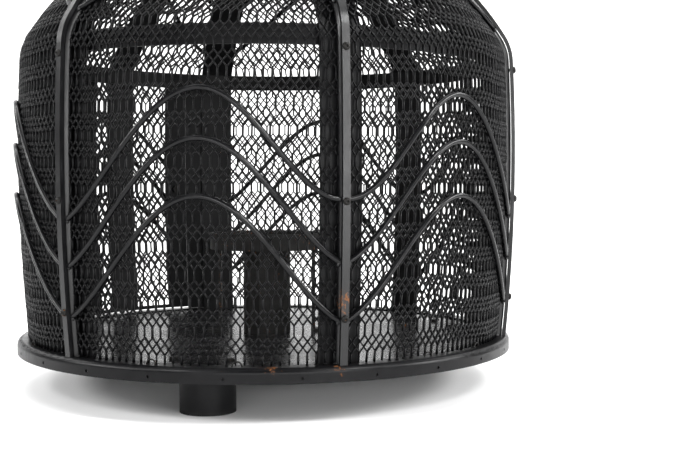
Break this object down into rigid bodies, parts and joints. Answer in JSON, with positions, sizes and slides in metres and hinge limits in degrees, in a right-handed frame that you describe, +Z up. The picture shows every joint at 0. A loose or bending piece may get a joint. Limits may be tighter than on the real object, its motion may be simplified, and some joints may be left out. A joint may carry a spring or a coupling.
{
  "type": "chiminea",
  "caption": "Round garden chiminea with an expanded-mesh drum and dome on bent ribs, wavy rod trim, a mesh door, raised fire grate, short feet, flue and rain cap.",
  "frame": {"origin": "centre of the base on the flue's axis, level with the undersides of the feet", "axes": "+Z up along the flue; -Y is the side seen in the picture, between two ribs; the door is in the bay towards -X and +Y"},
  "size_m": [0.6045, 0.6045, 1.042],
  "materials": {
    "black_coat": "satin, fine texture, powder coated",
    "mesh_coat": "satin, powder coated expanded steel",
    "floor_coat": "gloss, powder coated plate",
    "dark_steel": "satin, blackened fixings",
    "foot_plastic": "matte"
  },
  "bodies": {
    "chiminea_body": {"base_plate": "floor_coat", "rim_ring": "black_coat", "foot_tube_1": "black_coat", "foot_tube_2": "black_coat", "foot_tube_3": "black_coat", "foot_caps": "foot_plastic", "foot_screws": "dark_steel", "foot_nuts": "dark_steel", "rib_1": "black_coat", "rib_2": "black_coat", "rib_3": "black_coat", "rib_4": "black_coat", "rib_5": "black_coat", "rib_6": "black_coat", "rib_bar_1": "black_coat", "rib_bar_2": "black_coat", "rib_bar_3": "black_coat", "rib_bar_4": "black_coat", "rib_bar_5": "black_coat", "rib_bar_6": "black_coat", "rib_straps": "black_coat", "rib_screws": "dark_steel", "shoulder_hoop": "black_coat", "mesh_panel_1": "mesh_coat", "mesh_panel_2": "mesh_coat", "mesh_panel_3": "mesh_coat", "mesh_panel_4": "mesh_coat", "mesh_panel_6": "mesh_coat", "mesh_gore_over_door": "mesh_coat", "jamb_mesh": "mesh_coat", "door_jamb_frame": "black_coat", "drum_waves_1": "black_coat", "drum_waves_2": "black_coat", "drum_waves_3": "black_coat", "drum_waves_4": "black_coat", "drum_waves_6": "black_coat", "jamb_waves": "black_coat", "dome_waves": "black_coat", "mesh_clips": "dark_steel", "hinge_knuckles_fixed": "black_coat", "hinge_pins": "dark_steel", "latch_keeper": "black_coat", "grate": "black_coat", "grate_post": "black_coat", "grate_legs": "black_coat", "crown_collar": "black_coat", "flue_lower": "black_coat", "flue_upper": "black_coat", "flue_band": "black_coat", "flue_band_bolt": "dark_steel", "rain_cap": "black_coat", "cap_straps": "black_coat", "cap_rivets": "dark_steel"},
    "door": {"door_frame": "black_coat", "door_mesh": "mesh_coat", "door_strap": "black_coat", "door_waves": "black_coat", "hinge_knuckles_door": "black_coat", "latch_pivot": "dark_steel"},
    "latch": {"latch_lever": "black_coat"}
  },
  "joints": [
    {"name": "door_hinge", "type": "hinge", "parent": "chiminea_body", "child": "door", "pos_m": [-0.27621, 0.12457, 0.2075], "axis": [0, 0, 1], "range_deg": [0, 110]},
    {"name": "latch_turn", "type": "hinge", "parent": "door", "child": "latch", "pos_m": [-0.13517, 0.26188, 0.234], "axis": [-0.4586, 0.8886, 0], "range_deg": [0, 90]}
  ]
}
